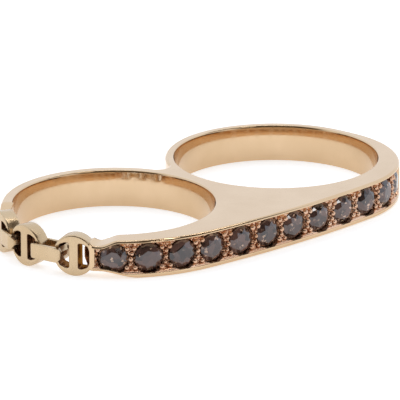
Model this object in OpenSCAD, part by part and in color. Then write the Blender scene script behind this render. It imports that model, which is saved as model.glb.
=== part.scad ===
// Two finger ring, millimetres, finger holes upright along Z.
// Two joined bands under a bar of set stones, with a short chain on the left.

/* [Finger holes] */
// Inside width of the left finger hole
left_hole_d = 16.5; // [15:0.1:20]
// Inside width of the right finger hole
right_hole_d = 17.2; // [15:0.1:20]
// Distance between the middles of the two holes
hole_spacing = 18.33; // [17:0.01:22]
// Rounding of the edges inside the holes
comfort_r = 0.22; // [0.1:0.01:0.3]

/* [Bands] */
// Height of the bands, along the fingers
band_h = 3.2; // [2.4:0.1:5]
// Thickness of the left band round the back
left_band_t = 1.02; // [0.8:0.01:1.6]
// Thickness of the right band round the back
right_band_t = 0.85; // [0.7:0.01:1.6]
// Small bevel along the outer edges
edge_bevel = 0.15; // [0.05:0.01:0.25]
// Rounding of the notch where the bands meet at the back
notch_r = 1; // [0.5:0.1:2]

/* [Bar] */
// Reach of the bar in front of the line through the hole middles
bar_reach = 11.31; // [10.8:0.01:12.5]
// Radius of the gentle bow of the bar
bow_r = 95.475; // [90:0.005:100]
// Sideways place of the middle of the bow
bow_x = 0.6; // [-1:0.1:2]
// Depth from the middle of the bow to the middle of the left end's rounding
left_reach = 82.5; // [80:0.5:85]
// Radius of the right end of the bar
right_end_r = 9.61; // [9.5:0.01:10.5]
// Height of the underside of the necks that carry the chain
neck_low = 0.58; // [0.3:0.005:1]
// Height of the top of the necks that carry the chain
neck_high = 2.725; // [2.4:0.005:3]

/* [Stones] */
// Number of stones along the bar
stone_count = 12; // [1:1:12]
// Width of a stone
stone_d = 2.3; // [1.8:0.05:2.4]
// Distance between stone middles along the bar
stone_pitch = 2.93; // [2.8:0.01:3.2]
// Place of the first stone along the bar, from the middle of the bow
first_stone = -17.25; // [-18:0.01:-16]
// Gap round a stone in its seat
seat_gap = 0.04; // [0.02:0.01:0.08]
// Height of the rails above and below the stones
rail_h = 0.4; // [0.25:0.01:0.45]
// Depth of the channel that the stones sit in
channel_depth = 0.26; // [0.15:0.01:0.4]

/* [Chain] */
// Width of an upright stud link
stud_link_d = 3.45; // [3:0.01:4]
// Thickness of an upright stud link
stud_link_t = 1.2; // [0.8:0.01:1.4]
// Width of the bar across a stud link
stud_w = 0.78; // [0.5:0.01:1]
// Width of the rim beside an opening
rim_w = 0.42; // [0.3:0.01:0.6]
// Height of an opening next to the bar of the link
opening_h = 2.1; // [1.6:0.01:2.4]
// Radius from the hole middle to the middle of a stud link
chain_r = 9.28; // [9.2:0.01:9.6]
// Height of a flat cross link
cross_h = 1.15; // [0.8:0.01:1.25]
// Thickness of a cross link
cross_t = 0.28; // [0.25:0.01:0.4]
// Rounding of the corners of a cross link, seen from outside
cross_corner_r = 0.38; // [0.2:0.01:0.5]
// Gap between a cross link and the rims inside it
chain_gap = 0.04; // [0.03:0.01:0.1]

/* [Hidden] */
$fn = 96;
fine = 24;
eps = 0.01;
deg = 180 / PI;

// Moves the ring so that the origin is under the middle of its box
box_shift = [0.365, 0.93];

left_x = -hole_spacing / 2;
right_x = hole_spacing / 2;
left_r = left_hole_d / 2;
right_r = right_hole_d / 2;
left_out = left_r + left_band_t;
right_out = right_r + right_band_t;

// Middles of the three arcs of the bar's front
bow_y = bow_r - bar_reach;
right_end_x = right_x + 0.035;
right_end_y = bow_y - sqrt(pow(bow_r - right_end_r, 2) - pow(right_end_x - bow_x, 2));
right_turn = asin((right_end_x - bow_x) / (bow_r - right_end_r));
// The left arc starts where the bow has turned by this step, a slope in round numbers
left_step = [-42, -440] / 440;
left_end = [bow_x, bow_y] + left_reach * left_step;
left_end_turn = atan(42 / 440);
left_end_r = bow_r - left_reach * 442 / 440;

// Lengths along the face of the bar where the arcs meet, from the middle of the bow
face_r = bow_r - edge_bevel;
left_join = -face_r * left_end_turn / deg;
right_join = face_r * right_turn / deg;
left_face_r = left_end_r - edge_bevel;
right_face_r = right_end_r - edge_bevel;

// Angle of the bar's front at a length along it, degrees from the front
function front_angle(s) =
    s < left_join ? -left_end_turn + (s - left_join) / left_face_r * deg :
    s > right_join ? right_turn + (s - right_join) / right_face_r * deg :
    s / face_r * deg;
function front_middle(s) =
    s < left_join ? left_end :
    s > right_join ? [right_end_x, right_end_y] :
    [bow_x, bow_y];
function front_r(s) =
    s < left_join ? left_face_r : s > right_join ? right_face_r : face_r;

// Direction away from a hole middle, at an angle from the front
function away(a) = [sin(a), -cos(a)];
// Point at an angle and a radius from the middle of the left hole
function left_point(a, r) = [left_x, 0] + r * away(a);

// Direction across, at an angle from the front
function along(a) = [cos(a), sin(a)];

// Middle height of the stones and of the chain
stone_z = band_h / 2;
chain_z = stud_link_d / 2;
// Stud links round the left hole, on the bar, free and on the band: place angle, turn
links = [[-60.5, -60.5], [-88.7, -88.7], [-112.5, -108.5]];
// From the middle of a stud link to the middle of its rim
rim_middle = (stud_link_d - rim_w) / 2;
// Middle of a stud link's rim, on its side towards the bar (1) or the band (-1)
function rim_point(i, side) =
    left_point(links[i][0], chain_r) + side * rim_middle * along(links[i][1]);

// Ends of the channel, past the first and last stones
channel_start = first_stone - 1.5;
channel_end = first_stone + (stone_count - 1) * stone_pitch + 1.5;

// Puts its children on the bar's front: X along the bar, Y up, Z out of the bar
module on_front(s, lift) {
    a = front_angle(s);
    p = front_middle(s) + (front_r(s) + lift) * away(a);
    translate([p[0], p[1], stone_z]) rotate([90, 0, a]) children();
}

// Puts its children at a point of the chain: X along the chain, Y up, Z outwards
module on_chain(p, turn) {
    translate([p[0], p[1], chain_z]) rotate([90, 0, turn]) children();
}

// Puts its children on a stud link: X along the chain, Y up, Z outwards
module on_link(i) {
    on_chain(left_point(links[i][0], chain_r), links[i][1]) children();
}

// A disc of the band's height with bevelled edges
module bevel_disc(x, y, r) {
    translate([x, y, 0]) rotate_extrude($fn = 180)
        polygon([[0, 0], [r - edge_bevel, 0], [r, edge_bevel], [r, band_h - edge_bevel],
                 [r - edge_bevel, band_h], [0, band_h]]);
}

// A straight length of band from p to q, its bevelled side on the right, w wide
module bevel_bar(p, q, w) {
    run = norm(q - p);
    turn = atan2(q[1] - p[1], q[0] - p[0]);
    translate([p[0], p[1], 0]) rotate([0, 0, turn]) rotate([90, 0, 90])
        linear_extrude(height = run)
            polygon([[0, edge_bevel], [0, band_h - edge_bevel], [edge_bevel, band_h],
                     [w, band_h], [w, 0], [edge_bevel, 0]]);
}

// An upright block between two angles round a middle point
module sector(x, y, r, a_from, a_to) {
    translate([x, y, -1]) linear_extrude(height = band_h + 2)
        polygon([[0, 0], r * away(a_from), r * away(a_to)]);
}

// Front of the bar: the bow and its rounded left end
module bar_front() {
    intersection() {
        bevel_disc(bow_x, bow_y, bow_r);
        translate([0, 0, -1]) linear_extrude(height = band_h + 2)
            polygon([left_end, left_end + 14 * left_step,
                     [bow_x + (bow_y + 14) * tan(right_turn), -14],
                     [bow_x + bow_y * tan(right_turn), 0]]);
    }
    intersection() {
        bevel_disc(left_end[0], left_end[1], left_end_r);
        translate([0, 0, -1]) linear_extrude(height = band_h + 2)
            polygon([left_end, left_end + 20 * away(-54), left_end + [-10, -18],
                     left_end + 14 * left_step]);
        neck_shape(bar_neck_a, 1);
    }
}

// Where a neck's slope starts and ends, across the line from the hole's middle at its angle
neck_full = 1.05;
neck_ramp = 1.62;
// Angles of those lines at the bar's neck and at the band's neck
bar_neck_a = -45;
band_neck_a = -125;

// Limits the height near a neck: full height from neck_full on, neck height past the slope
module neck_shape(a, side) {
    t_neck = neck_full - neck_ramp;
    far = 30;
    translate([left_x, 0, 0]) rotate([90, 0, a]) linear_extrude(height = far)
            polygon([[side * (t_neck - 2), neck_low], [side * t_neck, neck_low],
                     [side * neck_full, -eps], [side * far, -eps],
                     [side * far, band_h + eps], [side * neck_full, band_h + eps],
                     [side * t_neck, neck_high], [side * (t_neck - 2), neck_high]]);
}

// Left band, open where the chain is, with a straight shoulder up to the chain
module left_band() {
    shoulder_a = -136;
    shoulder_l = 2.6;
    shoulder_start = left_point(shoulder_a, left_out);
    difference() {
        union() {
            bevel_disc(left_x, 0, left_out);
            bevel_bar(shoulder_start,
                      shoulder_start + shoulder_l * along(shoulder_a), 1.2);
        }
        sector(left_x, 0, 30, -119, -65);
        sector(left_x, 0, 30, -65, -12);
    }
}

// Right band, deeper towards the bar
module right_band() {
    bevel_disc(right_x, 0, right_out);
    bevel_disc(right_end_x, right_end_y, right_end_r);
}

// Metal between the bands at the back, up to the rounded notch
module notch_fill() {
    reach_l = left_out + notch_r;
    reach_r = right_out + notch_r;
    x = (pow(reach_l, 2) - pow(reach_r, 2)) / (2 * hole_spacing);
    y = sqrt(pow(reach_l, 2) - pow(x - left_x, 2));
    // How deep the corners of this metal lie inside the bands
    sunk = 0.4;
    side_l = [left_x, 0] + (left_out - sunk) / reach_l * [x - left_x, y];
    side_r = [right_x, 0] + (right_out - sunk) / reach_r * [x - right_x, y];
    // Middle of the metal between the holes
    middle_x = (left_x + left_r + right_x - right_r) / 2;
    // A hair more than the touching radius, so that the surfaces cross
    hair = 0.02;
    r = notch_r + hair;
    difference() {
        linear_extrude(height = band_h) polygon([side_l, [middle_x, 0], side_r, [x, y]]);
        translate([x, y, -1]) cylinder(r = r, h = band_h + 2);
        translate([x, y, band_h - edge_bevel])
            cylinder(r1 = r, r2 = r + 2 * edge_bevel, h = 2 * edge_bevel);
        translate([x, y, -edge_bevel])
            cylinder(r1 = r + 2 * edge_bevel, r2 = r, h = 2 * edge_bevel);
    }
}

// Finger hole with rounded edges
module finger_hole(x, r) {
    edge = r + comfort_r;
    translate([x, 0, -1]) cylinder(r = r, h = band_h + 2, $fn = 180);
    translate([x, 0, 0]) rotate_extrude($fn = 180) difference() {
        translate([r - 0.2, band_h - comfort_r]) square([comfort_r + 0.2, comfort_r + 1]);
        translate([edge, band_h - comfort_r]) circle(r = comfort_r, $fn = fine);
    }
    translate([x, 0, 0]) rotate_extrude($fn = 180) difference() {
        translate([r - 0.2, -1]) square([comfort_r + 0.2, comfort_r + 1]);
        translate([edge, comfort_r]) circle(r = comfort_r, $fn = fine);
    }
}

// Slice that opens the inside of a neck, from the hole's wall out to the chain's inside
module neck_inside(a_wall, a_chain) {
    inner = chain_r - stud_link_t / 2;
    translate([0, 0, -1]) linear_extrude(height = band_h + 2)
        polygon([left_point(a_wall, left_r), left_point(a_chain, inner + 0.12),
                 left_point(a_chain, left_r - 2), left_point(a_wall, left_r - 2)]);
}

// Opening on one side of a stud link, seen from outside
module opening_2d() {
    half = opening_h / 2;
    out = stud_link_d / 2 - rim_w;
    side = 0.65;
    intersection() {
        polygon([[stud_w / 2, -half], [stud_w / 2 + 0.3, -half], [out, -side],
                 [out, side], [stud_w / 2 + 0.3, half], [stud_w / 2, half]]);
        circle(r = out + 0.11);
    }
}

// Upright round link with a bar across it
module stud_plate() {
    r = stud_link_d / 2;
    half = stud_link_t / 2;
    cut = 0.12;
    difference() {
        rotate_extrude() polygon([[0, -half], [r - cut, -half], [r, cut - half],
                                  [r, half - cut], [r - cut, half], [0, half]]);
        translate([0, 0, -half - 1]) linear_extrude(height = stud_link_t + 2) opening_2d();
        translate([0, 0, -half - 1]) linear_extrude(height = stud_link_t + 2)
            mirror([1, 0]) opening_2d();
    }
}

module rounded_rect(w, h, r) {
    square([w - 2 * r, h], center = true);
    square([w, h - 2 * r], center = true);
    for (x = [-1, 1], y = [-1, 1])
        translate([x * (w / 2 - r), y * (h / 2 - r)]) circle(r = r, $fn = fine);
}

// Rounding of a cross link's corners, seen from above
cross_round = 0.45;

// Flat cross link round the rims of two neighbouring stud links, i and i + 1
module cross_link(i) {
    p = rim_point(i, -1);
    q = rim_point(i + 1, 1);
    turn = atan2(p[1] - q[1], p[0] - q[0]);
    lean = max(abs(links[i][1] - turn), abs(links[i + 1][1] - turn));
    inside_l = norm(p - q) + rim_w * cos(lean) + stud_link_t * sin(lean) + 2 * chain_gap;
    inside_w = stud_link_t * cos(lean) + rim_w * sin(lean) + 2 * chain_gap;
    outside_l = inside_l + 2 * cross_t;
    outside_w = inside_w + 2 * cross_t;
    on_chain((p + q) / 2, turn) intersection() {
        rotate([-90, 0, 0]) linear_extrude(height = cross_h + 1, center = true) difference() {
            rounded_rect(outside_l, outside_w, cross_round);
            square([inside_l, inside_w], center = true);
        }
        linear_extrude(height = 4, center = true)
            rounded_rect(outside_l - 2 * eps, cross_h, cross_corner_r);
    }
}

// Channel along the bar's front, between the rails
module channel() {
    high = band_h - 2 * rail_h;
    translate([0, 0, rail_h]) linear_extrude(height = high) {
        channel_arc(left_end[0], left_end[1], left_end_r, front_angle(channel_start),
                    -left_end_turn, 18);
        channel_arc(bow_x, bow_y, bow_r, -left_end_turn, right_turn, 110);
        channel_arc(right_end_x, right_end_y, right_end_r, right_turn,
                    front_angle(channel_end), 18);
    }
}

module channel_arc(x, y, r, a_from, a_to, far) {
    translate([x, y]) intersection() {
        difference() {
            circle(r = r + 1, $fn = 180);
            circle(r = r - channel_depth, $fn = 180);
        }
        polygon([[0, 0], far * away(a_from), far * away(a_to)]);
    }
}

// Sizes of a stone: crown, girdle and pavilion heights, and how far its table stands out
crown_h = 0.33;
girdle_h = 0.07;
pavilion_h = 0.95;
table_lift = 0.05;
girdle_lift = table_lift - crown_h;

// Seats of the stones, open at the channel's floor
module seats() {
    r = stone_d / 2 + seat_gap;
    for (i = [0 : stone_count - 1])
        on_front(first_stone + i * stone_pitch, girdle_lift) {
            translate([0, 0, -girdle_h - seat_gap]) cylinder(r = r, h = 1.5, $fn = 48);
            translate([0, 0, -girdle_h - seat_gap - pavilion_h])
                cylinder(r1 = 0.03, r2 = r, h = pavilion_h, $fn = 48);
        }
}

// Beads between two stones: along the bar, up, radius
beads = [[0, 0, 0.2], [-0.27, 0.86, 0.17], [0.27, 0.86, 0.17],
         [-0.27, -0.86, 0.17], [0.27, -0.86, 0.17]];
// Beads past the last stones
end_beads = [[0.33, 0.75, 0.16], [0.33, -0.75, 0.16]];

module bead_grain() {
    lift = edge_bevel - channel_depth;
    for (i = [1 : stone_count - 1])
        for (b = beads)
            on_front(first_stone + (i - 0.5) * stone_pitch, lift)
                translate([b[0], b[1], 0]) sphere(r = b[2], $fn = fine);
    for (b = end_beads) {
        on_front(channel_start, lift) translate([b[0], b[1], 0]) sphere(r = b[2], $fn = fine);
        on_front(channel_end, lift) translate([-b[0], b[1], 0]) sphere(r = b[2], $fn = fine);
    }
}

module ring_body() {
    color([0.83, 0.64, 0.46]) difference() {
        union() {
            difference() {
                union() {
                    left_band_end();
                    right_band();
                    notch_fill();
                    bar_front_end();
                }
                finger_hole(left_x, left_r);
                finger_hole(right_x, right_r);
                channel();
            }
            bead_grain();
            on_link(0) stud_plate();
            on_link(2) stud_plate();
        }
        seats();
    }
}

// How far a neck reaches into the rim of its stud link, from the link's middle
neck_reach = stud_link_d / 2 - rim_w + 0.15;
// How far the flat front of the bar's neck runs, from the link's middle
neck_face = 1.87;

module bar_front_end() {
    difference() {
        bar_front();
        neck_inside(-44, -55);
        on_link(0) translate([-6 + neck_reach, 0, 0]) cube([12, 8, 8], center = true);
        // The neck's front lies in the plane of the link's face
        on_link(0) translate([-6 + neck_face, 0, stud_link_t / 2 + 3])
            cube([12, 8, 6], center = true);
    }
}

module left_band_end() {
    difference() {
        left_band_shape();
        neck_inside(-131, -119);
        on_link(2) translate([6 - neck_reach, 0, 0]) cube([12, 8, 8], center = true);
    }
}

// The band, with its end by the chain brought down to the neck's height
module left_band_shape() {
    difference() {
        left_band();
        sector(left_x, 0, 20, -133, -110);
    }
    intersection() {
        left_band();
        sector(left_x, 0, 20, -133, -110);
        neck_shape(band_neck_a, -1);
    }
}

module stud_link() {
    color([0.82, 0.66, 0.48]) on_link(1) stud_plate();
}

module cross_link_1() {
    color([0.84, 0.67, 0.5]) cross_link(0);
}

module cross_link_2() {
    color([0.84, 0.67, 0.5]) cross_link(1);
}

// Points round a circle
function ring_points(r, z, n, a) =
    [for (i = [0 : n - 1]) [r * cos(a + i * 360 / n), r * sin(a + i * 360 / n), z]];

// Round brilliant, its girdle's top edge at zero, its table upwards
module brilliant() {
    r = stone_d / 2;
    half = cos(22.5);
    table_r = 0.56 * r;
    star_r = 0.79 * r;
    lower_r = 0.25 * r;
    culet = -girdle_h - pavilion_h;
    star_z = crown_h * (r - star_r * half) / (r - table_r);
    lower_z = culet + pavilion_h * lower_r * half / r;
    // Points by first number: table 0, star 8, girdle 16 and 32, lower 48, culet 56
    points = concat(ring_points(table_r, crown_h, 8, 0), ring_points(star_r, star_z, 8, 22.5),
                    ring_points(r, 0, 16, 0), ring_points(r, -girdle_h, 16, 0),
                    ring_points(lower_r, lower_z, 8, 22.5), [[0, 0, culet]]);
    faces = concat(
        [[7, 6, 5, 4, 3, 2, 1, 0]],
        [for (k = [0 : 7]) [k, (k + 1) % 8, 8 + k]],
        [for (k = [0 : 7]) [k, 8 + k, 16 + 2 * k, 8 + (k + 7) % 8]],
        [for (k = [0 : 7]) [8 + k, 17 + 2 * k, 16 + 2 * k]],
        [for (k = [0 : 7]) [8 + k, 16 + (2 * k + 2) % 16, 17 + 2 * k]],
        [for (j = [0 : 15]) [16 + j, 16 + (j + 1) % 16, 32 + (j + 1) % 16, 32 + j]],
        [for (k = [0 : 7]) [48 + k, 32 + 2 * k, 33 + 2 * k]],
        [for (k = [0 : 7]) [48 + k, 33 + 2 * k, 32 + (2 * k + 2) % 16]],
        [for (k = [0 : 7]) [56, 48 + (k + 7) % 8, 32 + 2 * k, 48 + k]]);
    polyhedron(points = points, faces = faces);
}

module stone(i) {
    color([0.3, 0.22, 0.2])
        on_front(first_stone + (i - 1) * stone_pitch, girdle_lift) rotate([0, 0, 11]) brilliant();
}

module stone_01() stone(1);
module stone_02() stone(2);
module stone_03() stone(3);
module stone_04() stone(4);
module stone_05() stone(5);
module stone_06() stone(6);
module stone_07() stone(7);
module stone_08() stone(8);
module stone_09() stone(9);
module stone_10() stone(10);
module stone_11() stone(11);
module stone_12() stone(12);

translate(box_shift) {
    ring_body();
    stud_link();
    cross_link_1();
    cross_link_2();
    stone_01();
    stone_02();
    stone_03();
    stone_04();
    stone_05();
    stone_06();
    stone_07();
    stone_08();
    stone_09();
    stone_10();
    stone_11();
    stone_12();
}
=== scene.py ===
import bpy, math, random
from mathutils import Vector, Matrix
from mathutils.noise import noise as bump_noise
from mathutils.geometry import delaunay_2d_cdt


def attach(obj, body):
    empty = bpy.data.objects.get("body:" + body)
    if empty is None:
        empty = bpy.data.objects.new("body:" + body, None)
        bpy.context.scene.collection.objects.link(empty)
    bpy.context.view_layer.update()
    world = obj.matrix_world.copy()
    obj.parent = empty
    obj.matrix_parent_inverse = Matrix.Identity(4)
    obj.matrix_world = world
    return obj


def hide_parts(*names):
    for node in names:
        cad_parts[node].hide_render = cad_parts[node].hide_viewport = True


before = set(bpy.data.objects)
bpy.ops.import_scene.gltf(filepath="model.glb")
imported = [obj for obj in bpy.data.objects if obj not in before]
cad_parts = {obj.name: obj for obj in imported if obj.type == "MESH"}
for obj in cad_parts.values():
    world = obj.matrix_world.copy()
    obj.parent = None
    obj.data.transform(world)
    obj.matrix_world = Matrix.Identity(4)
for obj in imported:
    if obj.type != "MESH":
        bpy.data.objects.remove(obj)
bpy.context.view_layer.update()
scene = bpy.context.scene
MM = 0.001


# Sizes in millimetres and angles in degrees, the same as the solids have. The plan's frame has its
# origin midway between the finger holes, and an angle of 0 in it points to the bar.

SHIFT = Vector((0.365, 0.93))  # from the plan's frame to the part's
HOLE_SPACING = 18.33
LEFT_R, RIGHT_R = 8.25, 8.6
LEFT_OUT, RIGHT_OUT = 9.27, 9.45
BAND_H = 3.2
BOW = Vector((0.6, 84.165))
BOW_R = 95.475
LEFT_END = Vector((-7.275, 1.665))
LEFT_END_R = 12.6
LEFT_TURN = math.degrees(math.atan(42 / 440))
RIGHT_END_R = 9.61
RIGHT_END_SHIFT = 0.035  # of its middle, from the right hole's
NOTCH_R = 1.0
EDGE = 0.15

# The left band is open where the chain is. Necks run from its end and the bar's to the chain.
BAND_END_A, BAND_END_IN_A, BAR_END_IN_A = -136, -131, -44
BAND_END_L = 2.6
NECK_LOW, NECK_HIGH = 0.58, 2.725
BAR_NECK_A, BAND_NECK_A = -45, -125
NECK_START, NECK_RAMP = 0.57, 1.62  # the slope starts before the line at a neck's angle

STONE_COUNT = 12
STONE_PITCH = 2.93
FIRST_STONE = -17.25
RAIL_LOW = 0.4

LINK_D = 3.45
LINK_T = 1.2
STUD_W = 0.78
RIM_W = 0.42
OPENING_H = 2.1
CHAIN_R = 9.28
CROSS_T = 0.28
CROSS_CORNER_R = 0.38
CROSS_ROUND = 0.45
CHAIN_GAP = 0.04
LINKS = [(-60.5, -60.5), (-88.7, -88.7), (-112.5, -108.5)]  # place round the left hole, and turn

# Sizes that only this script has, or that differ from those of the solids

HOLE_EDGE_R = 0.10
FLARE_FROM, FLARE_FULL = 0.35, 0.75  # up or down from the band's middle
FLARE_UP, FLARE_DOWN, FLARE_CURL = 0.105, 0.06, 0.28

# The necks lie past a line across the left hole, and on either side of another
NECKS_A, NECKS_PAST, NECKS_PART_Y = -88, 4, 1
BAR_NECK_RAMP_LOW = 3.3
BAR_NECK_X, BAR_NECK_FAR_X, BAND_NECK_X = 1.33, 1.72, -1.36  # from their links' middles
BAR_NECK_PROUD, BAND_NECK_IN, NECK_BACK = 0.012, 0.02, 0.03  # against the links' faces
# Near a link both faces rise: by how much, from how far off its middle, and over what length
RISE_HIGH, RISE_LOW = (0.22, 1.9, 0.6), (0.06, 1.6, 0.3)
# The bar's neck ends in a tip behind the first link's opening, narrowed above and below
TIP_X, TIP_Z, TIP_ROOT_Z = 0.58, -0.42, 0.5
TIP_TAPER_FROM, TIP_TAPER = 1.2, 1.1

# The channel is cut deep, and the carved floor and the beads fill it. Lifts are out of the bar's
# face, which lies EDGE inside its front.
CHANNEL_BEFORE, CHANNEL_AFTER = 1.66, 1.5
RAIL_HIGH, RAIL_LEAST = 0.24, 0.24
CHANNEL_DEPTH, CHANNEL_SLOPE, CHANNEL_LIP = 0.62, 0.08, 0.02
FLOOR_BACK, FLOOR_END_GAP = -0.75, 0.02
FLOOR_STEPS_ALONG, FLOOR_STEPS_UP = 560, 40
SEAT_R, SEAT_LIFT, SEAT_RIM_DROP, SEAT_RIM_W = 1.23, -0.42, 0.14, 0.1
# Seat faces sunk below this lift take the darker gold that paints their shade
SHADE_PAINTED_BELOW = -0.33
CARVED_LIFT, CARVED_MOST = -0.24, -0.08
CARVED_SCALE, CARVED_COARSE, CARVED_FINE = 4.3, 0.20, 0.09
STRIP_LIFT, STRIP_W, STRIP_SLOPE = 0.11, 0.3, 0.2
BEAD_LIFT, GRAIN_LIFT = -0.16, -0.26
GRAIN_COUNT = 12

BEND_R = [24.0, 9.3, 9.3]  # the stud links' gentle curve
# An opening's upper half: height at the rim, how far in and high its knee is, and its flat top
OPENING_SIDE, OPENING_KNEE_IN, OPENING_KNEE_UP, OPENING_TOP = 0.455, 0.16, 0.86, 0.32
OPENING_CORNER_R = 0.14
CROSS_H = 1.26
CROSS_EDGE_R = 0.07
CROSS_ROUND_IN = 0.12

CURVE_STEP = 0.14  # between the stations round the bands
BAR_STATIONS = 620
CORNER_POINTS, SIDE_STEPS = 9, 8  # of a cross link's outline

LEFT = Vector((-HOLE_SPACING / 2, 0))
RIGHT = Vector((HOLE_SPACING / 2, 0))
STONE_Z = BAND_H / 2
CHAIN_Z = LINK_D / 2


def away(a):
    """Out of a band at an angle, in plan."""
    return Vector((math.sin(math.radians(a)), -math.cos(math.radians(a))))


def along(a):
    """Around a band at an angle, in plan."""
    return Vector((math.cos(math.radians(a)), math.sin(math.radians(a))))


def left_point(a, r):
    """A point round the left hole."""
    return LEFT + r * away(a)


RIGHT_END = Vector((RIGHT[0] + RIGHT_END_SHIFT, 0))
RIGHT_END[1] = BOW[1] - math.sqrt((BOW_R - RIGHT_END_R) ** 2 - (RIGHT_END[0] - BOW[0]) ** 2)
RIGHT_TURN = math.degrees(math.asin((RIGHT_END[0] - BOW[0]) / (BOW_R - RIGHT_END_R)))
FACE_R = BOW_R - EDGE
LEFT_JOIN = -FACE_R * math.radians(LEFT_TURN)
RIGHT_JOIN = FACE_R * math.radians(RIGHT_TURN)
CHANNEL_START = FIRST_STONE - CHANNEL_BEFORE
CHANNEL_END = FIRST_STONE + (STONE_COUNT - 1) * STONE_PITCH + CHANNEL_AFTER


def front_angle(s):
    """Which way the bar's front faces, that far along it."""
    if s < LEFT_JOIN:
        return -LEFT_TURN + math.degrees((s - LEFT_JOIN) / (LEFT_END_R - EDGE))
    if s > RIGHT_JOIN:
        return RIGHT_TURN + math.degrees((s - RIGHT_JOIN) / (RIGHT_END_R - EDGE))
    return math.degrees(s / FACE_R)


def front_point(s, lift):
    """A point of the bar's front, that far along it and out of it."""
    middle, r = BOW, FACE_R
    if s < LEFT_JOIN:
        middle, r = LEFT_END, LEFT_END_R - EDGE
    if s > RIGHT_JOIN:
        middle, r = RIGHT_END, RIGHT_END_R - EDGE
    return middle + (r + lift) * away(front_angle(s))


def clamp(u):
    """Held between 0 and 1."""
    return min(1.0, max(0.0, u))


def smooth(u):
    """A soft step from 0 to 1."""
    u = clamp(u)
    return u * u * (3 - 2 * u)


def toward(az, el):
    """The direction to an azimuth from the front and an elevation, in space."""
    a, e = math.radians(az), math.radians(el)
    return Vector((math.sin(a) * math.cos(e), -math.cos(a) * math.cos(e), math.sin(e)))


# Materials

def principled(name, color, metallic, roughness):
    m = bpy.data.materials.new(name)
    m.use_nodes = True
    b = m.node_tree.nodes["Principled BSDF"]
    b.inputs["Base Color"].default_value = (*color, 1)
    b.inputs["Metallic"].default_value = metallic
    b.inputs["Roughness"].default_value = roughness
    return m, m.node_tree, b


def add(tree, kind, **values):
    """A new node with these settings and input values."""
    n = tree.nodes.new(kind)
    for key, value in values.items():
        if key in n.inputs:
            n.inputs[key].default_value = value
        else:
            setattr(n, key, value)
    return n


def noise(tree, scale, detail, stretch=(1, 1, 1)):
    """Noise that stays with the object."""
    at = add(tree, "ShaderNodeTexCoord")
    size = add(tree, "ShaderNodeMapping")
    size.inputs["Scale"].default_value = stretch
    n = add(tree, "ShaderNodeTexNoise", Scale=scale, Detail=detail)
    tree.links.new(at.outputs["Object"], size.inputs["Vector"])
    tree.links.new(size.outputs["Vector"], n.inputs["Vector"])
    return n.outputs["Fac"]


def ramp(tree, value, low, high, out_low, out_high):
    """The value taken from one range to another, and held inside it."""
    n = add(tree, "ShaderNodeMapRange")
    for key, x in (("From Min", low), ("From Max", high),
                   ("To Min", out_low), ("To Max", out_high)):
        n.inputs[key].default_value = x
    tree.links.new(value, n.inputs["Value"])
    return n.outputs["Result"]


def mix_color(tree, value, a, b):
    # Inputs 6 and 7 and output 2 are the colour sockets
    n = add(tree, "ShaderNodeMix", data_type="RGBA")
    n.inputs[6].default_value = (*a, 1)
    n.inputs[7].default_value = (*b, 1)
    tree.links.new(value, n.inputs["Factor"])
    return n.outputs[2]


def bump(tree, b, height, strength, distance):
    n = add(tree, "ShaderNodeBump", Strength=strength, Distance=distance)
    tree.links.new(height, n.inputs["Height"])
    tree.links.new(n.outputs["Normal"], b.inputs["Normal"])


def gold(name, low, high, rough_low, rough_high, grain):
    """Rose gold: colour and polish drift slightly, with hairline wear and a fine grain."""
    m, t, b = principled(name, low, 1.0, rough_low)
    drift = ramp(t, noise(t, 260, 3), 0.35, 0.65, 0, 1)
    t.links.new(mix_color(t, drift, low, high), b.inputs["Base Color"])
    fine = noise(t, 2600, 4, (1, 1, 0.35))
    t.links.new(ramp(t, fine, 0.35, 0.7, rough_low, rough_high), b.inputs["Roughness"])
    bump(t, b, fine, grain, 0.00001)
    return m


POLISHED = gold("rose_gold_polished", (0.66, 0.462, 0.278), (0.70, 0.50, 0.31), 0.07, 0.16, 0.10)
SATIN = gold("rose_gold_satin", (0.57, 0.413, 0.245), (0.615, 0.455, 0.283), 0.22, 0.32, 0.35)
GRAIN = gold("rose_gold_cut_grain", (0.58, 0.33, 0.20), (0.74, 0.49, 0.34), 0.14, 0.34, 0.6)
# Painted shade: a darker gold for the deep seats round the stones, where shade falls.
SEAT_SHADE_GOLD = gold("rose_gold_painted_seat_shade", (0.30, 0.13, 0.065), (0.44, 0.23, 0.13), 0.25, 0.5, 0.6)
# Painted shade: a dark gold, with a darker edge tint, for the walls of the stud links' openings,
# where shade falls.
SHADOW = gold("rose_gold_painted_shade", (0.16, 0.08, 0.045), (0.25, 0.14, 0.08), 0.2, 0.4, 0.6)
SHADOW_BSDF = SHADOW.node_tree.nodes["Principled BSDF"]
SHADOW_BSDF.inputs["Specular Tint"].default_value = (0.5, 0.36, 0.26, 1.0)


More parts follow.
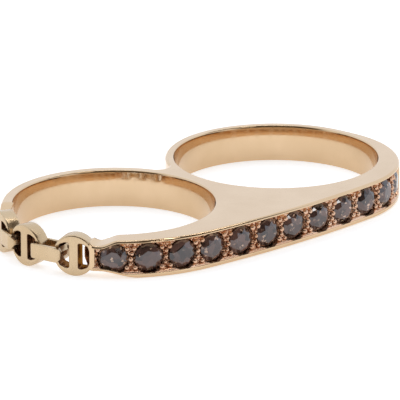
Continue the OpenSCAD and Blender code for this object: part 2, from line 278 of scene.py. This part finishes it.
def stone_material():
    """Dark brown stone under a hard polish, with reflections painted into its base colour: a mosaic
    of dim inner reflections and a few bright glints.
    """
    m, t, b = principled("brown_diamond", (0.03, 0.015, 0.012), 0.0, 0.04)
    b.inputs["IOR"].default_value = 1.85
    at = add(t, "ShaderNodeTexCoord")
    inner = None
    # Painted reflections in the base colour: first a mosaic of dim inner reflections, then a few
    # bright glints
    for scale, low, high, dark, light in (
            (1700, 0.1, 0.9, (0.014, 0.004, 0.003), (0.125, 0.062, 0.048)),
            (5200, 0.93, 0.99, (0.0, 0.0, 0.0), (0.55, 0.38, 0.26))):
        v = add(t, "ShaderNodeTexVoronoi", Scale=scale)
        t.links.new(at.outputs["Object"], v.inputs["Vector"])
        one = add(t, "ShaderNodeSeparateColor")
        t.links.new(v.outputs["Color"], one.inputs[0])
        layer = mix_color(t, ramp(t, one.outputs[0], low, high, 0, 1), dark, light)
        if inner is None:
            inner = layer
        else:
            both = add(t, "ShaderNodeMix", data_type="RGBA", blend_type="ADD")
            both.inputs["Factor"].default_value = 1.0
            t.links.new(inner, both.inputs[6])
            t.links.new(layer, both.inputs[7])
            inner = both.outputs[2]
    t.links.new(inner, b.inputs["Base Color"])
    t.links.new(ramp(t, noise(t, 3000, 3), 0.3, 0.7, 0.02, 0.09), b.inputs["Roughness"])
    return m


STONE = stone_material()


# Mesh helpers

def finish(name, verts, faces, material, slot, *nodes, sharp, second=None, painted_shade_faces=(), caps=None):
    """A mesh piece from points in millimetres in the plan's frame. The faces given as painted shade
    take the second material, a darker gold that paints shade there. The faces from number caps on
    are shaded apart from those before."""
    mesh = bpy.data.meshes.new(name)
    points = [((v[0] + SHIFT[0]) * MM, (v[1] + SHIFT[1]) * MM, v[2] * MM) for v in verts]
    mesh.from_pydata(points, [], faces)
    mesh.validate()
    o = bpy.data.objects.new(name, mesh)
    scene.collection.objects.link(o)
    mesh.materials.append(material)
    if second:
        mesh.materials.append(second)
    for p in mesh.polygons:
        p.use_smooth = True
        p.material_index = 1 if p.index in painted_shade_faces else 0
    mesh.set_sharp_from_angle(angle=math.radians(sharp))
    if caps:
        sides = {k for p in mesh.polygons if p.index < caps for k in p.edge_keys}
        ends = {k for p in mesh.polygons if p.index >= caps for k in p.edge_keys}
        for e in mesh.edges:
            if e.key in sides and e.key in ends:
                e.use_edge_sharp = True
    w = o.modifiers.new("even_normals", "WEIGHTED_NORMAL")
    w.keep_sharp = True
    w.weight = 80
    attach(o, "root")
    if nodes:
        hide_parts(*nodes)
    return o


class Net:
    """Points and faces gathered into one mesh. Points at the same place are one."""

    def __init__(self):
        self.verts, self.faces, self.at = [], [], {}

    def point(self, p):
        key = (round(p[0], 5), round(p[1], 5), round(p[2], 5))
        if key not in self.at:
            self.at[key] = len(self.verts)
            self.verts.append(tuple(p))
        return self.at[key]

    def face(self, *points):
        f = []
        for p in points:
            i = self.point(p)
            if i not in f:
                f.append(i)
        if len(f) > 2:
            self.faces.append(f)

    def strip(self, rows, closed):
        """Quads between rows of points. A closed strip joins the last row's ends."""
        for a, b in zip(rows, rows[1:]):
            n = len(a)
            for i in range(n if closed else n - 1):
                j = (i + 1) % n
                self.face(a[i], a[j], b[j], b[i])

    def cap(self, loops, lift, inner, up):
        """A flat or gently curved face inside the first loop and outside the others. It also
        runs through the inner points."""
        pts = [Vector(p[:2]) for loop in loops for p in loop]
        edges, k = [], 0
        for loop in loops:
            n = len(loop)
            edges += [(k + i, k + (i + 1) % n) for i in range(n)]
            k += n
        pts += [Vector(p) for p in inner]
        vs, _, fs, *_ = delaunay_2d_cdt(pts, edges, [], 0, 1e-6)
        for f in fs:
            c = sum((vs[i] for i in f), Vector((0, 0))) / len(f)
            if inside(c, loops[0]) and not any(inside(c, h) for h in loops[1:]):
                p = [(vs[i][0], vs[i][1], lift(vs[i])) for i in f]
                self.face(*(p if up else p[::-1]))


def inside(c, loop):
    """Whether a point is inside a closed outline."""
    hit = False
    x, y = c[0], c[1]
    for i in range(len(loop)):
        x1, y1 = loop[i - 1][0], loop[i - 1][1]
        x2, y2 = loop[i][0], loop[i][1]
        if (y1 > y) != (y2 > y) and x < (x2 - x1) * (y - y1) / (y2 - y1) + x1:
            hit = not hit
    return hit


# The ring's body

def arc(middle, r, a, b, step, sign=1, **facts):
    """Stations along an arc: place, outward direction and facts. sign is -1 on a hollow side."""
    n = max(2, int(abs(math.radians(b - a)) * r / step))
    ways = [away(a + (b - a) * i / n) for i in range(n + 1)]
    return [dict(at=middle + r * way, out=sign * way, **facts) for way in ways]


def straight(p, q, step, **facts):
    """Stations along a straight side."""
    n = max(1, int((q - p).length / step))
    d = (q - p).normalized()
    out = Vector((d[1], -d[0]))
    return [dict(at=p.lerp(q, i / n), out=out, **facts) for i in range(n + 1)]


def bend(i, x, z):
    """A point of stud link i, x along it and z out of its face, on its gentle curve."""
    a, turn = LINKS[i]
    r = BEND_R[i]
    return left_point(a, CHAIN_R) - r * away(turn) + (r + z) * away(turn + math.degrees(x / r))


def neck_place(p):
    """Which neck a point is near, and how far it is past the neck's line."""
    q = Vector((p[0], p[1])) - LEFT
    if q.dot(away(NECKS_A)) < NECKS_PAST:
        return None, 0.0
    if q[1] < NECKS_PART_Y:
        return 0, q.dot(along(BAR_NECK_A))
    return 2, -q.dot(along(BAND_NECK_A))


def link_x(i, p):
    """How far a point is from a link's middle, along the link."""
    a, turn = LINKS[i]
    return abs((Vector((p[0], p[1])) - left_point(a, CHAIN_R)).dot(along(turn)))


def tip_drop(i, p):
    """How far the first neck's tip has narrowed, above and below."""
    return TIP_TAPER * max(0.0, TIP_TAPER_FROM - link_x(i, p)) if i == 0 else 0.0


def rise_near(i, p, by, start, over):
    """How far a neck's face has risen near its link."""
    return by * clamp((start - link_x(i, p)) / over) ** 2


def top_z(p):
    """Height of the upper face, which comes down to the necks."""
    i, t = neck_place(p)
    if i is None:
        return BAND_H
    rise = rise_near(i, p, *RISE_HIGH) - tip_drop(i, p) if t < 0.5 else 0.0
    return NECK_HIGH + rise + (BAND_H - NECK_HIGH) * smooth((t + NECK_START) / NECK_RAMP)


def bottom_z(p):
    """Height of the lower face, which goes up to the necks."""
    i, t = neck_place(p)
    if i is None:
        return 0.0
    rise = rise_near(i, p, *RISE_LOW) + tip_drop(i, p) if t < 0.5 else 0.0
    ramp_l = BAR_NECK_RAMP_LOW if i == 0 else NECK_RAMP
    return (NECK_LOW + rise) * (1 - smooth((t + NECK_START) / ramp_l))


# Edges from the upper or lower face round to the wall: inwards, and down from the face
OUTER = [(0.20, 0.0), (0.155, 0.008), (0.115, 0.035), (0.035, 0.115), (0.008, 0.155), (0.0, 0.20)]
NECK = [(0.07, 0.0), (0.05, 0.006), (0.02, 0.02), (0.006, 0.05), (0.0, 0.07)]
# A quarter round in 7 steps
HOLE = [(HOLE_EDGE_R * (1 - math.sin(a * math.pi / 14)),
         HOLE_EDGE_R * (1 - math.cos(a * math.pi / 14))) for a in range(8)]
EDGE_POINTS = 9
CHANNEL_POINTS = 7


def flare(z):
    """How far a hole's wall stands back: upright in the middle, leaning out above and below."""
    u = abs(z - STONE_Z)
    if u < FLARE_FROM:
        return 0.0
    lean = FLARE_UP if z > STONE_Z else FLARE_DOWN
    soft, over = FLARE_FULL - FLARE_FROM, u - FLARE_FULL
    if over < 0:
        return lean * (u - FLARE_FROM) ** 2 / (2 * soft)
    return lean * (soft / 2 + over + FLARE_CURL * over ** 2)


def even(profile, n):
    """The profile with n points, so that every station has as many."""
    out = list(profile)
    while len(out) < n:
        out.append(out[-1])
    return out


def channel_span(p):
    """Lowest and highest point of the channel at a place along the bar."""
    return (max(RAIL_LOW, bottom_z(p) + RAIL_LEAST),
            min(BAND_H - RAIL_HIGH, top_z(p) - RAIL_LEAST))


def wall(station):
    """Points up the wall at a station, from the lower face's edge to the upper one's. All
    stations have as many, and where there is no channel its points lie in the wall."""
    p, out, edge = station["at"], station["out"], station["edge"]
    profile = even({"outer": OUTER, "hole": HOLE, "neck": NECK}[edge], EDGE_POINTS)
    zb, zt = bottom_z(p), top_z(p)
    depth = station.get("channel", 0.0)
    low = [(o, zb + d) for o, d in profile]
    high = [(o, zt - d) for o, d in profile][::-1]
    r_low, r_high = channel_span(p)
    c = CHANNEL_LIP
    k = min(1, depth * 20)  # the lips are whole from a depth of 0.05
    lip = [(0.0, c), (c * 0.3 * k, c * 0.3), (c * k, 0.0), (depth, -c)]
    low += [(o, r_low - d) for o, d in lip]
    middle = [(depth, r_low + (r_high - r_low) * (j + 1) / (CHANNEL_POINTS + 1))
              for j in range(CHANNEL_POINTS)]
    middle += [(o, r_high + d) for o, d in lip[::-1]]
    rows = low + middle + high
    if edge == "hole":
        rows = [(o + flare(z), z) for o, z in rows]
    return [(p[0] - o * out[0], p[1] - o * out[1], z) for o, z in rows]


def right_turn_end():
    """The angle at which a straight side touches both of the right band's arcs."""
    step = RIGHT_END - RIGHT
    lean = math.asin((RIGHT_END_R - RIGHT_OUT) / step.length)
    return 90 + math.degrees(lean + math.atan(-step[0] / step[1]))


def bar_front(turn_end):
    """Stations along the bar's front, with the channel, and round the right end."""
    start, end = CHANNEL_START, CHANNEL_END
    s_end = RIGHT_JOIN + (RIGHT_END_R - EDGE) * math.radians(turn_end - RIGHT_TURN)
    before = 0.02
    marks = [start - before + (s_end - start + before) * i / BAR_STATIONS
             for i in range(BAR_STATIONS + 1)]
    # More where the arcs meet and at the channel's ends
    marks += [LEFT_JOIN, RIGHT_JOIN]
    for d in (0.0, 0.03, CHANNEL_SLOPE):
        marks += [start + d, end - d]
    stations = []
    for s in sorted(set(round(m, 4) for m in marks)):
        depth = CHANNEL_DEPTH * clamp(min(s - start, end - s) / CHANNEL_SLOPE)
        stations.append(dict(at=front_point(s, EDGE), out=away(front_angle(s)),
                             edge="outer", channel=depth))
    return stations


def body_stations():
    """Stations round the body's outline and the left hole, which the chain leaves open."""
    turn_end = right_turn_end()
    face = LINK_T / 2 + BAR_NECK_PROUD
    back = -LINK_T / 2 - NECK_BACK
    # The bar neck's flat front, then the bar and the right band
    outer = straight(bend(0, BAR_NECK_X, face), bend(0, BAR_NECK_FAR_X, face),
                     step=0.08, edge="neck")
    outer += bar_front(turn_end)
    outer += straight(RIGHT_END + RIGHT_END_R * away(turn_end), RIGHT + RIGHT_OUT * away(turn_end),
                      step=0.2, edge="outer")[1:-1]
    # The notch between the bands touches both
    reach_l, reach_r = LEFT_OUT + NOTCH_R, RIGHT_OUT + NOTCH_R
    nx = (reach_l ** 2 - reach_r ** 2) / (2 * HOLE_SPACING)
    notch = Vector((nx, math.sqrt(reach_l ** 2 - (nx - LEFT[0]) ** 2)))
    to_r, to_l = notch - RIGHT, notch - LEFT
    a_r = 180 - math.degrees(math.atan2(to_r[0], to_r[1]))
    a_l = 180 - math.degrees(math.atan2(to_l[0], to_l[1]))
    outer += arc(RIGHT, RIGHT_OUT, turn_end, a_r, CURVE_STEP, edge="outer")
    outer += arc(notch, NOTCH_R, a_r - 180, a_l - 180, step=0.05, sign=-1, edge="outer")[1:-1]
    # The left band, the neck at its end, and back round the hole
    outer += arc(LEFT, LEFT_OUT, a_l, BAND_END_A + 360, CURVE_STEP, edge="outer")
    p = left_point(BAND_END_A, LEFT_OUT)
    outer += straight(p, p + BAND_END_L * along(BAND_END_A), step=0.1, edge="outer")[1:]
    neck_front = bend(2, BAND_NECK_X, LINK_T / 2 - BAND_NECK_IN)
    neck_end = bend(2, BAND_NECK_X, back)
    outer += straight(neck_front, neck_end, step=0.2, edge="neck")[1:-1]
    outer += straight(neck_end, left_point(BAND_END_IN_A, LEFT_R), step=0.12, edge="neck")
    outer += arc(LEFT, LEFT_R, BAND_END_IN_A, BAR_END_IN_A - 360, CURVE_STEP, -1, edge="hole")
    # The bar neck's back and tip
    tip, shoulder = bend(0, TIP_X, back), bend(0, TIP_X, TIP_Z)
    outer += straight(left_point(BAR_END_IN_A, LEFT_R), tip, step=0.12, edge="neck")
    outer += straight(tip, shoulder, step=0.1, edge="neck")[1:]
    outer += straight(shoulder, bend(0, BAR_NECK_X, TIP_ROOT_Z), step=0.12, edge="neck")[1:]
    return outer


def body():
    """The two bands and the bar, with the channel and both necks."""
    net = Net()
    outer = body_stations()
    hole = arc(RIGHT, RIGHT_R, 0, -360, CURVE_STEP, -1, edge="hole")[:-1]
    rows_o = [wall(s) for s in outer]
    rows_h = [wall(s) for s in hole]
    for rows in (rows_o, rows_h):
        levels = [[r[j] for r in rows] for j in range(len(rows[0]))]
        net.strip(levels, True)
    top = [[r[-1] for r in rows_o], [r[-1] for r in rows_h]]
    low = [[r[0] for r in rows_o], [r[0] for r in rows_h]]
    # Points inside the faces where they curve, at the bar's neck and the band's, each half a
    # degree and 0.25 mm, and none of them close to the outline
    angles = [a / 2 for a in list(range(-112, -50)) + list(range(-266, -232))]
    inner = [left_point(a, r / 4) for a in angles for r in range(34, 40)]
    clear = 0.12
    keep = [p for p in inner if inside(p, top[0]) and not inside(p, top[1])
            and min((Vector(q[:2]) - p).length for q in top[0]) > clear]
    caps = len(net.faces)
    net.cap(top, top_z, keep, True)
    net.cap(low, bottom_z, keep, False)
    return finish("ring_shank", net.verts, net.faces, POLISHED, "rose_gold", "ring_body",
                  sharp=50, caps=caps)


# Stud links

def round_corners(points, r, n=6):
    """A closed outline with its corners rounded by r or less."""
    out = []
    k = len(points)
    for i in range(k):
        p, a, b = Vector(points[i]), Vector(points[i - 1]), Vector(points[(i + 1) % k])
        u, v = (a - p).normalized(), (b - p).normalized()
        half = math.acos(max(-1, min(1, u.dot(v)))) / 2
        d = min(r / math.tan(half), (a - p).length * 0.45, (b - p).length * 0.45)
        for j in range(n + 1):
            t = j / n
            q = (p + u * d) * (1 - t) ** 2 + p * (2 * t * (1 - t)) + (p + v * d) * t ** 2
            out.append(q[:])
    return out


def offset(loop, d):
    """A closed outline moved d to its right-hand side."""
    out = []
    n = len(loop)
    for i in range(n):
        a, p, b = Vector(loop[i - 1]), Vector(loop[i]), Vector(loop[(i + 1) % n])
        t1, t2 = (p - a).normalized(), (b - p).normalized()
        n1, n2 = Vector((t1[1], -t1[0])), Vector((t2[1], -t2[0]))
        m = n1 + n2
        m = m / max(0.3, m.dot(n1))
        out.append((p + m * d)[:])
    return out


def plate(name, i, *nodes):
    """An upright stud link, built flat and set in its place. Outlines run against the clock."""
    r = LINK_D / 2
    turns = [math.radians(a) for a in range(0, 360, 3)]
    rim = [(r * math.cos(a), r * math.sin(a)) for a in turns]
    half, out, x0 = OPENING_H / 2, r - RIM_W, STUD_W / 2
    upper = [(out, OPENING_SIDE), (out - OPENING_KNEE_IN, OPENING_KNEE_UP),
             (x0 + OPENING_TOP, half), (x0, half)]
    right = round_corners([(x, -y) for x, y in upper[::-1]] + upper, OPENING_CORNER_R)
    left = [(-x, y) for x, y in right][::-1]
    net = Net()
    shaded_walls = set()
    t = LINK_T / 2
    rim_edge = [(0.13, 0.0), (0.095, 0.006), (0.06, 0.024), (0.024, 0.06), (0.006, 0.095),
                (0.0, 0.13)]
    hole_edge = [(0.045, 0.0), (0.02, 0.006), (0.006, 0.02), (0.0, 0.045)]
    caps = []
    for loop, edge, sign in ((rim, rim_edge, -1), (right, hole_edge, 1), (left, hole_edge, 1)):
        rows = []
        for o, d in edge:
            rows.append([(x, y, t - d) for x, y in offset(loop, sign * o)])
        for o, d in edge[::-1]:
            rows.append([(x, y, -t + d) for x, y in offset(loop, sign * o)])
        if sign == -1:
            rows = rows[::-1]
        first = len(net.faces)
        net.strip(rows, True)
        # The openings' walls take the dark gold that paints their shade
        if sign == 1:
            shaded_walls.update(range(first, len(net.faces)))
            rows = rows[::-1]
        caps.append((rows[-1], rows[0]))
    net.cap([c[0] for c in caps], lambda p: t, (), True)
    net.cap([c[1] for c in caps], lambda p: -t, (), False)
    verts = [(*bend(i, x, z), CHAIN_Z + y) for x, y, z in net.verts]
    return finish(name, verts, net.faces, SATIN, "link_gold", *nodes,
                  sharp=50, second=SHADOW, painted_shade_faces=shaded_walls)


# Cross links

def rim_point(i, side):
    """The middle of a stud link's rim, on one side of it."""
    a, turn = LINKS[i]
    return left_point(a, CHAIN_R) + side * (LINK_D - RIM_W) / 2 * along(turn)


def rounded_rect(length, width, r):
    """An outline of four rounded corners, each of CORNER_POINTS points."""
    pts = []
    for cx, cy, a0 in ((1, 1, 0), (-1, 1, 90), (-1, -1, 180), (1, -1, 270)):
        for k in range(CORNER_POINTS):
            a = math.radians(a0 + k * 90 / (CORNER_POINTS - 1))
            pts.append(Vector((cx * (length / 2 - r) + r * math.cos(a),
                               cy * (width / 2 - r) + r * math.sin(a))))
    return pts


def cross_link(name, i, *nodes):
    """A flat link round the rims of stud links i and i + 1, with corners rounded from the front."""
    p, q = rim_point(i, -1), rim_point(i + 1, 1)
    turn = math.degrees(math.atan2(p[1] - q[1], p[0] - q[0]))
    lean = max(abs(LINKS[i][1] - turn), abs(LINKS[i + 1][1] - turn))
    c, s = math.cos(math.radians(lean)), math.sin(math.radians(lean))
    in_l = (p - q).length + RIM_W * c + LINK_T * s + 2 * CHAIN_GAP
    in_w = LINK_T * c + RIM_W * s + 2 * CHAIN_GAP
    outer = rounded_rect(in_l + 2 * CROSS_T, in_w + 2 * CROSS_T, CROSS_ROUND)
    inner = rounded_rect(in_l, in_w, CROSS_ROUND_IN)
    # Pairs of outer and inner points, with more of them along the straight sides
    stations = []
    for k in range(len(outer)):
        stations.append((outer[k], inner[k]))
        if (k + 1) % CORNER_POINTS == 0:
            nxt = (k + 1) % len(outer)
            for j in range(1, SIDE_STEPS):
                t = j / SIDE_STEPS
                stations.append((outer[k].lerp(outer[nxt], t), inner[k].lerp(inner[nxt], t)))
    reach = in_l / 2 + CROSS_T

    def half_h(x):
        over = max(0.0, abs(x) - (reach - CROSS_CORNER_R))
        drop = CROSS_CORNER_R - math.sqrt(max(0.0, CROSS_CORNER_R ** 2 - over ** 2))
        return CROSS_H / 2 - drop

    e = CROSS_EDGE_R
    corner = [(e - e * math.sin(a * math.pi / 8), e - e * math.cos(a * math.pi / 8))
              for a in range(5)]
    rows = []
    for o, n in stations:
        d = (o - n) / (o - n).length
        h, hn = half_h(o[0]), half_h(n[0])
        row = [(o - d * a, h - b) for a, b in corner[::-1]]
        row += [(n + d * a, hn - b) for a, b in corner]
        row += [(n + d * a, -hn + b) for a, b in corner[::-1]]
        row += [(o - d * a, -h + b) for a, b in corner]
        rows.append([(w[0], w[1], z) for w, z in row])
    net = Net()
    net.strip(rows + [rows[0]], True)
    middle = (p + q) / 2
    m = (Matrix.Translation((middle[0], middle[1], CHAIN_Z))
         @ Matrix.Rotation(math.radians(turn), 4, "Z"))
    verts = [(m @ Vector(v))[:] for v in net.verts]
    return finish(name, verts, net.faces, SATIN, "link_gold", *nodes, sharp=60)


# Beads and grain between the stones

def ball(net, at, m, r, squash, seg=14, rings=7):
    """A bead, squashed or stretched along its own z."""
    rows = []
    for j in range(rings + 1):
        a = math.pi * j / rings
        rows.append([at + m @ Vector((r * math.sin(a) * math.cos(2 * math.pi * k / seg),
                                      r * math.sin(a) * math.sin(2 * math.pi * k / seg),
                                      r * squash * math.cos(a))) for k in range(seg)])
    net.strip(rows[::-1], True)


def front_frame(s, up, lift):
    """A place on the bar's front, and the turn that sets z out of it."""
    p = front_point(s, lift)
    turn = Matrix.Rotation(math.radians(front_angle(s)), 3, "Z")
    m = turn @ Matrix.Rotation(math.pi / 2, 3, "X")
    return Vector((p[0], p[1], STONE_Z + up)), m


def carved(s, up, low):
    """How far the carved metal between the stones stands out. It rises to the lower rail."""
    nearest = min(range(STONE_COUNT), key=lambda i: abs(s - FIRST_STONE - i * STONE_PITCH))
    x = s - FIRST_STONE - nearest * STONE_PITCH
    r = math.hypot(x, up)
    if r < SEAT_R:
        return SEAT_LIFT
    v = Vector((s * CARVED_SCALE, up * CARVED_SCALE, 0.0))
    h = CARVED_LIFT + CARVED_COARSE * bump_noise(v) + CARVED_FINE * bump_noise(v * 2.7)
    h -= SEAT_RIM_DROP * max(0.0, 1 - (r - SEAT_R) / SEAT_RIM_W)
    rise = smooth((low + STRIP_W - up) / STRIP_SLOPE)
    return max(SEAT_LIFT, min(CARVED_MOST, h)) * (1 - rise) + STRIP_LIFT * rise


def setting_floor():
    """The engraved floor of the channel, a slab sunk into the bar."""
    net = Net()
    ns, nu = FLOOR_STEPS_ALONG, FLOOR_STEPS_UP
    start, end = CHANNEL_START + FLOOR_END_GAP, CHANNEL_END - FLOOR_END_GAP
    front, rear, lifts = [], [], {}
    for i in range(ns + 1):
        s = start + (end - start) * i / ns
        lo, hi = (z - STONE_Z for z in channel_span(front_point(s, EDGE)))
        front.append([])
        rear.append([])
        for j in range(nu + 1):
            u = lo + (hi - lo) * j / nu
            lifts[(i, j)] = carved(s, u, lo)
            p = front_point(s, lifts[(i, j)])
            q = front_point(s, FLOOR_BACK)
            front[-1].append((p[0], p[1], STONE_Z + u))
            rear[-1].append((q[0], q[1], STONE_Z + u))
    net.strip([f[::-1] for f in front], False)
    # The seats' deep faces take the darker seat gold, which is painted shade round the stones
    deep = {i * nu + j for i in range(ns) for j in range(nu)
            if lifts[(i, nu - 1 - j)] < SHADE_PAINTED_BELOW}
    for a, b in ((rear[0], front[0]), (front[-1], rear[-1])):
        net.strip([a, b], False)
    for j in (0, nu):
        net.strip([[f[j] for f in front], [f[j] for f in rear]][::1 if j else -1], False)
    net.strip(rear, False)
    return finish("setting_floor", net.verts, net.faces, GRAIN, "rose_gold",
                  sharp=50, second=SEAT_SHADE_GOLD, painted_shade_faces=deep)


# Along the bar, up, and radius: between two stones, and inwards from the channel's ends
BEADS = [(0.0, 0.0, 0.22), (-0.33, 0.86, 0.25), (0.33, 0.84, 0.23), (-0.33, -0.80, 0.25),
         (0.33, -0.82, 0.22), (0.02, 0.46, 0.17), (-0.03, -0.44, 0.18)]
END_BEADS = [(0.42, 0.74, 0.22), (0.40, -0.76, 0.22), (0.20, 0.02, 0.15), (0.14, 0.46, 0.13),
             (0.14, -0.45, 0.14)]


def beads():
    """The beads that hold the stones, with small grains between them, all slightly uneven."""
    net = Net()
    rand = random.Random(7)
    for i in range(1, STONE_COUNT):
        s = FIRST_STONE + (i - 0.5) * STONE_PITCH
        for x, up, r in BEADS:
            at, m = front_frame(s + x + rand.uniform(-0.06, 0.06),
                                up + rand.uniform(-0.05, 0.05), BEAD_LIFT)
            ball(net, at, m, r * rand.uniform(0.85, 1.12), rand.uniform(0.8, 1.15))
        for k in range(GRAIN_COUNT):
            # Above and below in turn, and spread less where the stones are close together
            up = rand.uniform(0.25, 1.05) * (1 if k % 2 else -1)
            x = rand.uniform(-0.5, 0.5) * min(1, abs(up) * 1.1)
            at, m = front_frame(s + x, up, GRAIN_LIFT)
            ball(net, at, m, rand.uniform(0.05, 0.1), rand.uniform(0.8, 1.6), 8, 4)
    for x, up, r in END_BEADS:
        for s in (CHANNEL_START + x, CHANNEL_END - x):
            at, m = front_frame(s, up, BEAD_LIFT)
            ball(net, at, m, r, 1.0)
    return finish("setting_beads", net.verts, net.faces, GRAIN, "rose_gold", sharp=80)


body()
plate("bar_stud_link", 0)
plate("free_stud_link", 1, "stud_link")
plate("band_stud_link", 2)
cross_link("front_cross_link", 0, "cross_link_1")
cross_link("back_cross_link", 1, "cross_link_2")
setting_floor()
beads()

for number in range(1, STONE_COUNT + 1):
    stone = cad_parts["stone_%02d" % number]
    stone.data.materials.clear()
    stone.data.materials.append(STONE)


# Camera, fitted to the photo

AZ, EL, DISTANCE, LENS = -42.35, 18.39, 332.6, 357.86
target = Vector((-0.47 + SHIFT[0], -0.97 + SHIFT[1], 1.615)) * MM
back = toward(AZ, EL)
right = (-back).cross(Vector((0, 0, 1))).normalized()
pose = Matrix((right, right.cross(-back), back)).transposed().to_4x4()
pose.translation = target + DISTANCE * MM * back
cam_data = bpy.data.cameras.new("camera")
cam_data.sensor_width = 36
cam_data.lens = LENS
cam_data.clip_start = 0.001
cam_data.clip_end = 10
cam_data.dof.use_dof = False
cam = bpy.data.objects.new("camera", cam_data)
cam.matrix_world = pose
scene.collection.objects.link(cam)
scene.camera = cam


# Floor and light: a light table, a bright cool backdrop low down and a dim ceiling

FLOOR_HALF = 2
corners = [(x * FLOOR_HALF, y * FLOOR_HALF, 0) for x, y in ((-1, -1), (1, -1), (1, 1), (-1, 1))]
floor_mesh = bpy.data.meshes.new("floor")
floor_mesh.from_pydata(corners, [], [(0, 1, 2, 3)])
floor = bpy.data.objects.new("floor", floor_mesh)
scene.collection.objects.link(floor)
floor_mat, _, floor_bsdf = principled("floor_white", (0.80, 0.80, 0.80), 0, 0.9)
floor_bsdf.inputs["Specular IOR Level"].default_value = 0.0
floor_bsdf.inputs["Emission Color"].default_value = (1.0, 0.99, 0.97, 1)
floor_bsdf.inputs["Emission Strength"].default_value = 0.57
floor_mesh.materials.append(floor_mat)

world = bpy.data.worlds.new("studio")
scene.world = world
world.use_nodes = True
wt = world.node_tree
sky = wt.nodes["Background"]
direction = add(wt, "ShaderNodeTexCoord")

# Where the backdrop is dark: azimuth and elevation of the middle, and how many degrees round it
# the dark is full and gone. First the dim side high up over the right of the camera, then the
# dark room behind the camera, low down.
shades = []
for middle_az, middle_el, full, gone in ((22, 50, 24, 30), (-48, 20, 44, 56)):
    near = add(wt, "ShaderNodeVectorMath", operation="DOT_PRODUCT")
    near.inputs[1].default_value = toward(middle_az, middle_el)
    wt.links.new(direction.outputs["Generated"], near.inputs[0])
    shades.append(ramp(wt, near.outputs["Value"],
                       math.cos(math.radians(gone)), math.cos(math.radians(full)), 0, 1))
darker = add(wt, "ShaderNodeMath", operation="MAXIMUM")
wt.links.new(shades[0], darker.inputs[0])
wt.links.new(shades[1], darker.inputs[1])
BRIGHT, DARK = (1.03, 1.11, 1.24), (0.11, 0.09, 0.07)
wt.links.new(mix_color(wt, darker.outputs[0], BRIGHT, DARK), sky.inputs["Color"])
sky.inputs["Strength"].default_value = 1.0


def lamp(name, at, size, watts):
    """A white area light that faces the ring."""
    d = bpy.data.lights.new(name, "AREA")
    d.shape = "RECTANGLE"
    d.size, d.size_y = size
    d.energy = watts
    o = bpy.data.objects.new(name, d)
    scene.collection.objects.link(o)
    o.location = at
    o.rotation_euler = (-Vector(at)).to_track_quat("-Z", "Y").to_euler()
    return o


# A long thin light, turned so that its length runs along axis_x
strip = lamp("strip_light", (0.097, -0.096, 0.481), (0.5, 0.022), 0.22)
axis_x = Vector((0.994, -0.453, -0.161)).normalized()
axis_z = Vector((0.194, -0.192, 0.962)).normalized()
axis_y = axis_z.cross(axis_x).normalized()
strip.rotation_euler = Matrix((axis_y.cross(axis_z), axis_y, axis_z)).transposed().to_euler()
LAMP_DISTANCE = 0.6
lamp("small_light", toward(-10, 36) * LAMP_DISTANCE, (0.10, 0.07), 0.16)
lamp("soft_light", toward(22.4, 63.4) * LAMP_DISTANCE, (0.05, 0.10), 0.09)
scene.view_settings.view_transform = "Standard"
